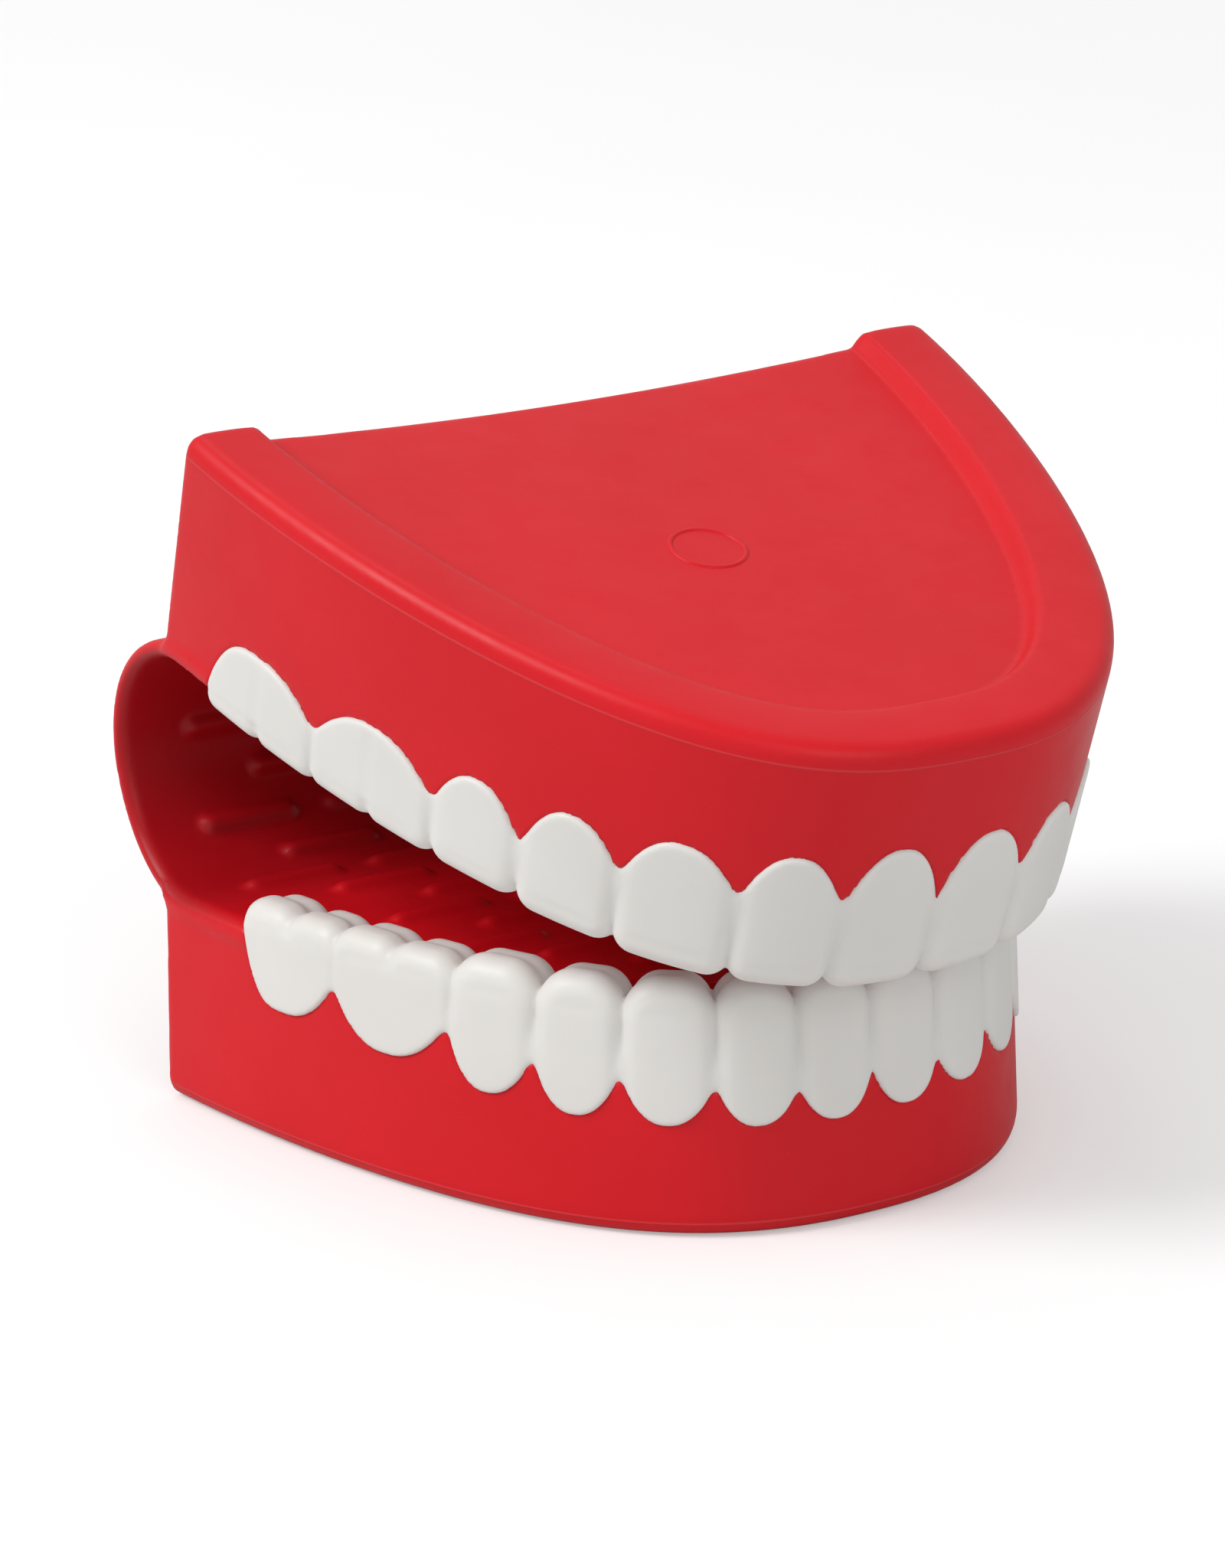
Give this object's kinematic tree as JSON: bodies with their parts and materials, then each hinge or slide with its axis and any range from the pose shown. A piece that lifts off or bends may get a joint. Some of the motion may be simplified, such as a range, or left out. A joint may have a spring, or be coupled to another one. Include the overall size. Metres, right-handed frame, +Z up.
{
  "type": "denture-shaped silicone pot grip",
  "caption": "Hollow rubber kitchen grip shaped like a pair of dentures: hinged jaws with tooth rows, a finger pocket above, a thumb pocket below and a ribbed mouth.",
  "frame": {"origin": "middle of the bounding box footprint, at ground level under the flat base", "axes": "+X across the grip, +Y towards the open rear and the hinge roll, -Y towards the incisors, +Z up"},
  "size_m": [0.1024, 0.1079, 0.0847],
  "materials": {
    "gum_red": "matte moulded silicone",
    "tooth_white": "satin moulded silicone"
  },
  "bodies": {
    "lower_jaw": {"lower_jaw_shell": "gum_red", "lower_teeth": "tooth_white", "hinge_roll": "gum_red"},
    "upper_jaw": {"upper_jaw_shell": "gum_red", "upper_teeth": "tooth_white"}
  },
  "joints": [
    {"name": "jaw_hinge", "type": "hinge", "parent": "lower_jaw", "child": "upper_jaw", "pos_m": [0, 0.04872, 0.04154], "axis": [-1, 0, 0], "range_deg": [0, 45], "stiffness_Nm_per_rad": 0.35, "deforming": ["hinge_roll"]}
  ]
}
